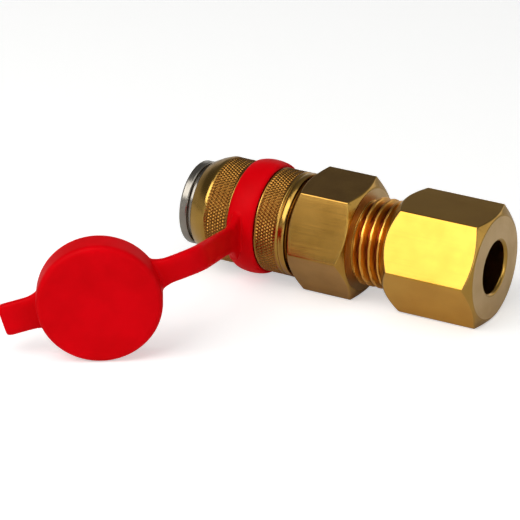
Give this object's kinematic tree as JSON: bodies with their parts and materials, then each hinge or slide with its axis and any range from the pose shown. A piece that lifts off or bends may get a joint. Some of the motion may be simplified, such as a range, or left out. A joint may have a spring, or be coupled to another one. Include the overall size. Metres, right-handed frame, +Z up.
{
  "type": "quick coupler",
  "caption": "Push-on quick coupler with a knurled sliding sleeve, a hexagon body, a compression nut for tube and a soft dust cap on a strap.",
  "frame": {"origin": "on the axis at the mouth of the plug's bore, just inside its lead-in", "axes": "+X along the axis from the plug's bore to the tube's nut, +Z up and square to the nut's top flat (the body's hexagon is turned 4 degrees from it); the dust cap lies towards -Y"},
  "size_m": [0.0617, 0.0547, 0.0189],
  "materials": {
    "nickel": "nickel-plated, turned",
    "knurled_brass": "fine diamond knurl",
    "machined_brass": "machined, bright",
    "nut_brass": "machined, bright",
    "inner_brass": "turned",
    "ring_brass": "turned",
    "ball_steel": "polished",
    "spring_steel": "drawn wire",
    "seal_rubber": "matt",
    "red_plastic": "soft PVC, satin"
  },
  "bodies": {
    "body": {"hex_body": "machined_brass", "barrel": "nickel", "seal_carrier": "inner_brass", "plug_seal": "seal_rubber", "body_seal": "seal_rubber", "valve_guide": "inner_brass", "sleeve_spring": "spring_steel", "retainer_spring": "spring_steel", "valve_spring": "spring_steel"},
    "sleeve": {"sleeve": "knurled_brass"},
    "retainer": {"ball_retainer": "inner_brass"},
    "valve": {"valve_poppet": "inner_brass", "valve_seal": "seal_rubber"},
    "cap": {"dust_cap": "red_plastic"},
    "ring": {"cutting_ring": "ring_brass"},
    "nut": {"compression_nut": "nut_brass"},
    "ball_1": {"locking_ball_1": "ball_steel"},
    "ball_2": {"locking_ball_2": "ball_steel"},
    "ball_3": {"locking_ball_3": "ball_steel"},
    "ball_4": {"locking_ball_4": "ball_steel"},
    "ball_5": {"locking_ball_5": "ball_steel"},
    "ball_6": {"locking_ball_6": "ball_steel"}
  },
  "joints": [
    {"name": "sleeve_slide", "type": "slide", "parent": "body", "child": "sleeve", "axis": [-1, 0, 0], "range_m": [0, 0.0022], "deforming": ["sleeve_spring"]},
    {"name": "ball_1_slide", "type": "slide", "parent": "body", "child": "ball_1", "axis": [0, -1, 0], "range_m": [0, 0.00071]},
    {"name": "ball_2_slide", "type": "slide", "parent": "body", "child": "ball_2", "axis": [0, -0.5, -0.866], "range_m": [0, 0.00071]},
    {"name": "ball_3_slide", "type": "slide", "parent": "body", "child": "ball_3", "axis": [0, 0.5, -0.866], "range_m": [0, 0.00071]},
    {"name": "ball_4_slide", "type": "slide", "parent": "body", "child": "ball_4", "axis": [0, 1, 0], "range_m": [0, 0.00071]},
    {"name": "ball_5_slide", "type": "slide", "parent": "body", "child": "ball_5", "axis": [0, 0.5, 0.866], "range_m": [0, 0.00071]},
    {"name": "ball_6_slide", "type": "slide", "parent": "body", "child": "ball_6", "axis": [0, -0.5, 0.866], "range_m": [0, 0.00071]},
    {"name": "retainer_slide", "type": "slide", "parent": "body", "child": "retainer", "axis": [1, 0, 0], "range_m": [0, 0.00243], "stiffness_N_per_m": 300, "springref_m": -0.003, "deforming": ["retainer_spring"]},
    {"name": "valve_slide", "type": "slide", "parent": "body", "child": "valve", "axis": [1, 0, 0], "range_m": [0, 0.003], "stiffness_N_per_m": 800, "springref_m": -0.004, "deforming": ["valve_spring"]},
    {"name": "dust_cap_turn", "type": "hinge", "parent": "sleeve", "child": "cap", "pos_m": [0.0114, 0, 0], "axis": [1, 0, 0], "continuous": true},
    {"name": "nut_travel", "type": "slide", "parent": "body", "child": "ring", "axis": [1, 0, 0], "range_m": [0, 0.00526]},
    {"name": "nut_turn", "type": "hinge", "parent": "ring", "child": "nut", "pos_m": [0.0356, 0, 0], "axis": [1, 0, 0], "range_deg": [0, 1260]}
  ],
  "couplings": [
    {"joint": "ball_1_slide", "follows": "sleeve_slide", "ratio": 0.32},
    {"joint": "ball_2_slide", "follows": "sleeve_slide", "ratio": 0.32},
    {"joint": "ball_3_slide", "follows": "sleeve_slide", "ratio": 0.32},
    {"joint": "ball_4_slide", "follows": "sleeve_slide", "ratio": 0.32},
    {"joint": "ball_5_slide", "follows": "sleeve_slide", "ratio": 0.32},
    {"joint": "ball_6_slide", "follows": "sleeve_slide", "ratio": 0.32},
    {"joint": "retainer_slide", "follows": "sleeve_slide", "ratio": 1.1},
    {"joint": "nut_travel", "follows": "nut_turn", "m_per_rad": 0.00023873}
  ]
}
